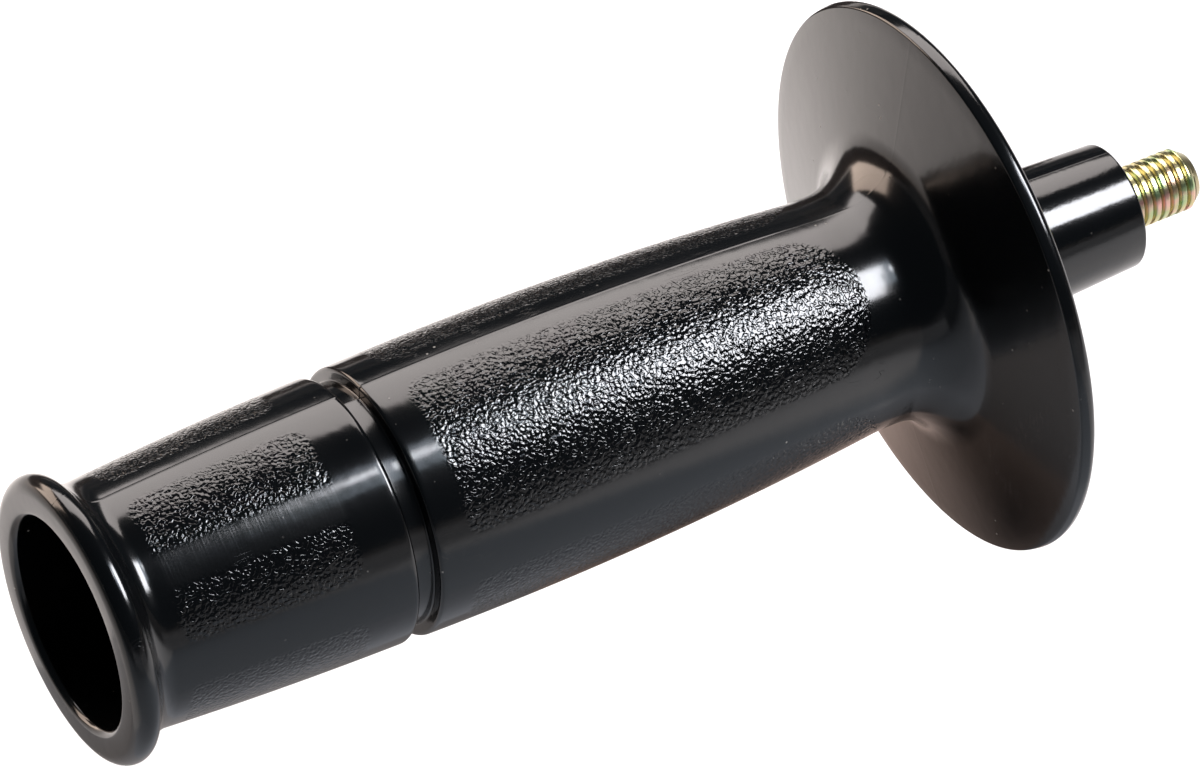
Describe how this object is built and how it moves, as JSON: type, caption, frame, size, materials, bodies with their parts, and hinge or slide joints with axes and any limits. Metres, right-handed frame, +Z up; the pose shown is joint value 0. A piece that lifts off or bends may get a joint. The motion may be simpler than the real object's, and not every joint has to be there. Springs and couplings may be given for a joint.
{
  "type": "power tool side handle",
  "caption": "Hollow moulded side handle with a dished hand guard and a threaded steel stud, as screwed into the side of a power tool.",
  "frame": {"origin": "middle of the boss's flat end face, which seats on the tool, where the thread leaves it", "axes": "+X along the thread, away from the grip; +Z up when the handle is held level; the handle is the same all round X"},
  "size_m": [0.1573, 0.072, 0.072],
  "materials": {
    "black_moulding": "glossy black glass filled nylon, with pebbled patches on the grips",
    "yellow_zinc_steel": "yellow passivated zinc plating, faintly iridescent"
  },
  "bodies": {
    "root": {"handle_body": "black_moulding", "stud_bolt": "yellow_zinc_steel"}
  },
  "joints": []
}
